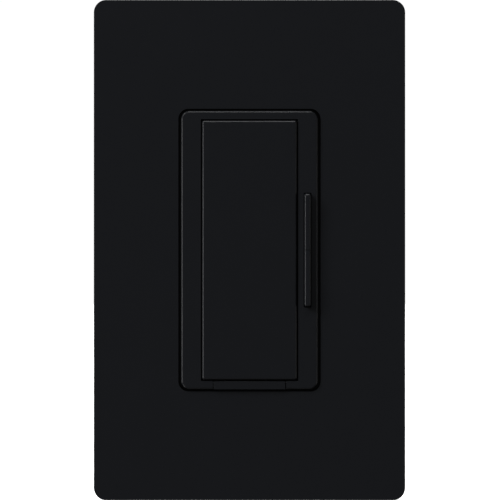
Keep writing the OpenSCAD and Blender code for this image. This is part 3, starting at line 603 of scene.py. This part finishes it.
def binding_screws(node, heights, name):
    """Screws of the wire terminals, which lie along X with their heads outwards."""
    low, high = (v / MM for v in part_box(node))
    seat, tip = 18.7, 14.7
    bm = welded(node)
    side = 1 if high.x > 0 else -1
    cut(bm, at(side * seat, 0, 0), X * -side)
    round_off(bm, 0.15 * MM, lambda p: not near(abs(p.x), seat, 0.02), 2)
    y = (low.y + high.y) / 2
    for z in heights:
        add_thread(bm, at(side * seat, y, z), at(side * tip, y, z), *(size * MM for size in BINDING_THREAD))
    ride(piece(bm, name, node), node)


def upper_and_lower(high, head_radius):
    """Where, as (x, z), the two screws stand whose heads reach a node's top and bottom."""
    middle = high.z - head_radius
    return [(0, middle), (0, -middle)]


def all_screws():
    low, high = (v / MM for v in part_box("mounting_screws"))
    head_radius, head_height = 3.4, 1.9
    places = upper_and_lower(high, head_radius)
    screws_along_y(
        "mounting_screws", places, low.y + head_height, high.y, COARSE_THREAD, "wall_box_screws", neck_y=0.4
    )
    low, high = (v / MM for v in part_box("adapter_screws"))
    head_radius, head_height = 3.0, 1.5
    places = upper_and_lower(high, head_radius)
    screws_along_y(
        "adapter_screws", places, low.y + head_height, high.y, COARSE_THREAD, "adapter_fixing_screws"
    )
    low, high = (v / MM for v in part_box("ground_screw"))
    seat = 1.2
    places = [((low.x + high.x) / 2, (low.z + high.z) / 2)]
    screws_along_y("ground_screw", places, seat, low.y, COARSE_THREAD, "earth_screw", head_side=1)
    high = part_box("housing_screws")[1] / MM
    head_radius, seat = 2.5, -0.28
    places = [(i * (high.x - head_radius), k * (high.z - head_radius)) for i in (-1, 1) for k in (-1, 1)]
    screws_along_y("housing_screws", places, seat, high.y, CASE_THREAD, "case_screws")
    binding_screws("terminal_screws", heights=(11, -11), name="binding_screws")
    binding_screws("common_screw", heights=(-20,), name="common_binding_screw")


# ---- Parts on the circuit board ------------------------------------------


def choke_winding():
    """One enamelled wire wound round the ring core, with its two ends led down to the board."""
    low, high = (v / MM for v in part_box("choke_core"))
    centre = (low + high) / 2
    ring_radius, turns, start, sweep = 7.25, 15, 110, 320
    half_width, half_height, corner, steps = 3.45, 3.7, 1.3, 7
    wire_radius, bend_radius, depth_in_board = 0.45, 0.8, 0.2

    def turned(angle, across, depth):
        """A point of the winding: round the ring by an angle, and off the ring's middle line."""
        radius = ring_radius + across
        return at(centre.x + radius * math.cos(angle), centre.y + depth, centre.z + radius * math.sin(angle))

    outline = []
    for out, back, first in ((1, 1, 0), (-1, 1, 90), (-1, -1, 180), (1, -1, 270)):
        for step in range(steps):
            angle = math.radians(first + 90 * step / (steps - 1))
            across = out * (half_width - corner) + corner * math.cos(angle)
            depth = back * (half_height - corner) + corner * math.sin(angle)
            outline.append((across, depth))
    count = len(outline)
    last_point = turns * count - steps
    points = []
    for k in range(last_point + 1):
        points.append(turned(math.radians(start + sweep * k / (turns * count)), *outline[k % count]))
    in_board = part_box("circuit_board")[1].y / MM - depth_in_board - centre.y
    first_angle, last_angle = math.radians(start), math.radians(start + sweep * last_point / (turns * count))
    lead_in = [turned(first_angle, half_width, in_board)]
    knee, foot = turned(last_angle, half_width, -half_height), turned(last_angle, half_width, in_board)
    lead_out = bent([points[-1], knee, foot], bend_radius * MM)[1:]
    bm = bmesh.new()
    add_tube(bm, lead_in + points + lead_out, wire_radius * MM, 12)
    ride(piece(bm, "choke_wire", "choke_winding"), "choke_winding")


def resistors():
    """Two waisted bodies, on leads that bend down to the board."""
    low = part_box("resistors")[0] / MM
    rows, body_x, lift = (-12.5, -16.2), -12, 1.5
    bend_and_body_x = ((-13.7, -11.9), (-3.8, -5.6))
    bend_radius, lead_radius = 0.6, 0.3
    middle = low.y + lift
    bodies, leads = bmesh.new(), bmesh.new()
    profile = [(0.32, 0), (0.85, 0.08), (1.15, 0.35), (1.2, 0.8), (1.12, 1.5), (1.0, 1.9), (1.0, 4.6),
               (1.12, 5.0), (1.2, 5.7), (1.15, 6.15), (0.85, 6.42), (0.32, 6.5)]
    for z in rows:
        add_lathe(bodies, profile, at(body_x, middle, z), X, 28)
        for end, body in bend_and_body_x:
            path = bent([at(body, middle, z), at(end, middle, z), at(end, low.y, z)], bend_radius * MM)
            add_tube(leads, path, lead_radius * MM)
    ride(piece(bodies, "resistor_bodies", "resistors", RESISTOR), "resistors")
    ride(piece(leads, "resistor_leads", "resistors", TINNED, "zinc_steel", replaced=False), "resistors")


def electrolytic_capacitor():
    """A can in a shrink sleeve, with a crimped groove near its foot and a bare metal top."""
    low, high = (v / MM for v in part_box("electrolytic_capacitor"))
    x, z = (low.x + high.x) / 2, (low.z + high.z) / 2
    can, top = bmesh.new(), bmesh.new()
    length = high.y - low.y
    top_height = 0.14
    foot = [(4.2, 0), (4.2, 0.35), (4.55, 0.45), (4.9, 0.7), (5.0, 1.1), (5.0, 2.0)]
    groove = [(4.7, 2.35), (4.65, 2.6), (4.7, 2.85), (5.0, 3.2)]
    rim = [(5.0, length - 0.7), (4.85, length - 0.25), (4.5, length - 0.02), (3.9, length - 0.02)]
    add_lathe(can, foot + groove + rim, at(x, low.y, z), Y, 56)
    disc = [(3.95, 0), (3.95, 0.1), (3.85, top_height)]
    add_lathe(top, disc, at(x, high.y - top_height, z), Y, 56)
    node = "electrolytic_capacitor"
    ride(piece(can, "capacitor_can", node), node)
    ride(piece(top, "capacitor_top", node, TINNED, "zinc_steel", replaced=False), node)


def film_capacitor():
    """A cast box, rounded everywhere but round its foot."""
    foot = 5.35
    bm = welded("film_capacitor")
    round_off(bm, 0.6 * MM, lambda p: p.y > foot, 4)
    ride(piece(bm, "film_capacitor_box", "film_capacitor"), "film_capacitor")


def varistor():
    """A coated disc with soft edges on two wires."""
    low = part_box("varistor")[0] / MM
    disc, leads = bmesh.new(), bmesh.new()
    face_x, middle_y, middle_z, thickness = 7, 11, -3.8, 3.6
    wire_radius, wire_middle, wire_top = 0.4, 6.5, 8.5
    spread_x, spread_z = 0.8, 2.5
    first_half = [(3.2, 0), (3.9, 0.08), (4.35, 0.4), (4.55, 1.0)]
    other_half = [(radius, thickness - along) for radius, along in reversed(first_half)]
    profile = first_half + [(4.6, thickness / 2)] + other_half
    add_lathe(disc, profile, at(face_x, middle_y, middle_z), X, 56)
    for side in (-1, 1):
        x, z = face_x + thickness / 2 + side * spread_x, middle_z + side * spread_z
        add_tube(leads, [at(x, y, z) for y in (low.y, wire_middle, wire_top)], wire_radius * MM)
    ride(piece(disc, "varistor_disc", "varistor"), "varistor")
    ride(piece(leads, "varistor_leads", "varistor", TINNED, "zinc_steel", replaced=False), "varistor")


def microcontroller():
    """The chip's body, widest at its middle, and its bent leads."""
    low, high = (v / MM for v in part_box("microcontroller"))
    x, z = (low.x + high.x) / 2, (low.z + high.z) / 2
    body, leads = bmesh.new(), bmesh.new()
    half, waist, seam_y, back_y = 3.5, 0.12, 2.5, 3.1
    layers = ((low.y, half - waist), (seam_y, half), (back_y, half - waist))
    square = ((-1, -1), (1, -1), (1, 1), (-1, 1))
    add_rings(body, [[at(x + i * h, y, z + k * h) for i, k in square] for y, h in layers])
    leads_a_side, pitch, half_depth, half_width = 8, 0.8, 0.06, 0.17
    path = [(3.4, 2.4), (3.8, 2.4), (4.0, 2.5), (4.1, 2.75), (4.2, 3.1), (4.35, 3.28), (4.65, 3.28)]
    section = [(half_depth * i, half_width * k) for i, k in ((-1, -1), (-1, 1), (1, 1), (1, -1))]
    for side in (-1, 1):
        for i in range(leads_a_side):
            row = z + (i - (leads_a_side - 1) / 2) * pitch
            rings = [[at(x + side * out, y + dy, row + dz) for dy, dz in section] for out, y in path]
            add_rings(leads, rings)
    bmesh.ops.recalc_face_normals(body, faces=body.faces)
    bmesh.ops.recalc_face_normals(leads, faces=leads.faces)
    round_off(body, 0.06 * MM, None, 2)
    node = "microcontroller"
    ride(piece(body, "microcontroller_body", node), node)
    ride(piece(leads, "microcontroller_leads", node, TINNED, "zinc_steel", replaced=False), node)


def build_pieces():
    wall_plate()
    bezel()
    tap_paddle()
    dimming_rocker()
    service_tab()
    back_cover()
    plain_pieces()
    leaf_spring()
    all_screws()
    choke_winding()
    resistors()
    electrolytic_capacitor()
    film_capacitor()
    varistor()
    microcontroller()


# ---- Camera, lights and floor --------------------------------------------

scene = bpy.context.scene
plate_low, plate_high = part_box("wall_plate")
LIGHT_DISTANCE = 2.5


def add_camera():
    """Front-on, from far away through a long lens. The plate just overfills the picture's height."""
    data = bpy.data.cameras.new("camera")
    data.lens = 250
    data.sensor_width = 36
    data.clip_start = 0.01
    data.clip_end = 20
    share_seen, shift_x, shift_z = 0.9988, 0.12 * MM, 0.024 * MM
    view_width = (plate_high.z - plate_low.z) * share_seen
    distance = view_width * data.lens / data.sensor_width
    aim_z = (plate_low.z + plate_high.z) / 2 + shift_z
    camera = bpy.data.objects.new("camera", data)
    scene.collection.objects.link(camera)
    camera.location = (shift_x, plate_low.y - distance, aim_z)
    camera.rotation_euler = (math.radians(90), 0, 0)
    scene.camera = camera


def add_light(name, direction, size, radiance, glossy=True):
    """A rectangular soft box that faces the object. It shows in reflections if it's glossy."""
    data = bpy.data.lights.new(name, "AREA")
    data.shape = "RECTANGLE"
    data.size, data.size_y = size
    data.energy = radiance * size[0] * size[1] * math.pi
    light = bpy.data.objects.new(name, data)
    scene.collection.objects.link(light)
    light.visible_glossy = glossy
    light.matrix_world = aligned(Vector(direction).normalized() * LIGHT_DISTANCE, Vector(direction))


def add_world():
    """A white backdrop for the camera, and a dim even light for everything else."""
    scene.world = bpy.data.worlds.new("studio")
    scene.world.use_nodes = True
    tree = scene.world.node_tree
    tree.nodes.clear()
    path = tree.nodes.new("ShaderNodeLightPath")
    mix = tree.nodes.new("ShaderNodeMixShader")
    out = tree.nodes.new("ShaderNodeOutputWorld")
    tree.links.new(path.outputs["Is Camera Ray"], mix.inputs[0])
    surroundings, backdrop = 0.07, 1.05
    for socket, strength in ((mix.inputs[1], surroundings), (mix.inputs[2], backdrop)):
        background = tree.nodes.new("ShaderNodeBackground")
        background.inputs["Color"].default_value = (1, 1, 1, 1)
        background.inputs["Strength"].default_value = strength
        tree.links.new(background.outputs[0], socket)
    tree.links.new(mix.outputs[0], out.inputs["Surface"])


def add_floor():
    """A plain white floor under the plate's bottom edge. It adds no light or reflection to the object."""
    bpy.ops.mesh.primitive_plane_add(size=6, location=(0, 0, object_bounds()[0].z))
    floor = bpy.context.object
    floor.name = "floor"
    n = Nodes("floor_white")
    tint = n.blend(n.noise(400 * MM), (0.8, 0.8, 0.8), (0.82, 0.82, 0.82))
    white = n.finish(tint, Roughness=0.9, Emission_Color=(1, 1, 1, 1), Emission_Strength=1.0)
    floor.data.materials.append(white)
    floor.visible_diffuse = False
    floor.visible_glossy = False


def build_studio():
    scene.view_settings.view_transform = "Standard"
    add_camera()
    add_world()
    add_floor()
    add_light("key", (-1.28, -1.0, 0.98), (1.1, 1.1), 11.6, glossy=False)
    add_light("left_rim", (-1.0, -0.52, 0.0), (0.9, 0.9), 4.7)
    add_light("low_left_rim", (-0.75, -0.52, -0.75), (0.9, 0.9), 2.7)
    add_light("high_left_rim", (-0.75, -0.52, 0.75), (0.9, 0.9), 3.6)
    add_light("top_rim", (0.0, -0.55, 1.0), (0.9, 0.9), 4.4)
    add_light("low_rim", (0.0, -0.5, -1.0), (1.2, 0.8), 0.2)
    add_light("right_rim", (1.0, -0.35, -0.2), (0.9, 1.4), 0.8)
    add_light("back_key", (0.6, 1.2, 0.9), (1.4, 1.4), 9)
    add_light("back_left", (-1.0, 0.6, 0.4), (1.6, 1.6), 3)
    add_light("back_right", (1.0, 0.6, 0.5), (1.6, 1.6), 3)
    add_light("back_low", (0.2, 0.8, -1.0), (1.6, 1.6), 3)


build_pieces()
build_studio()
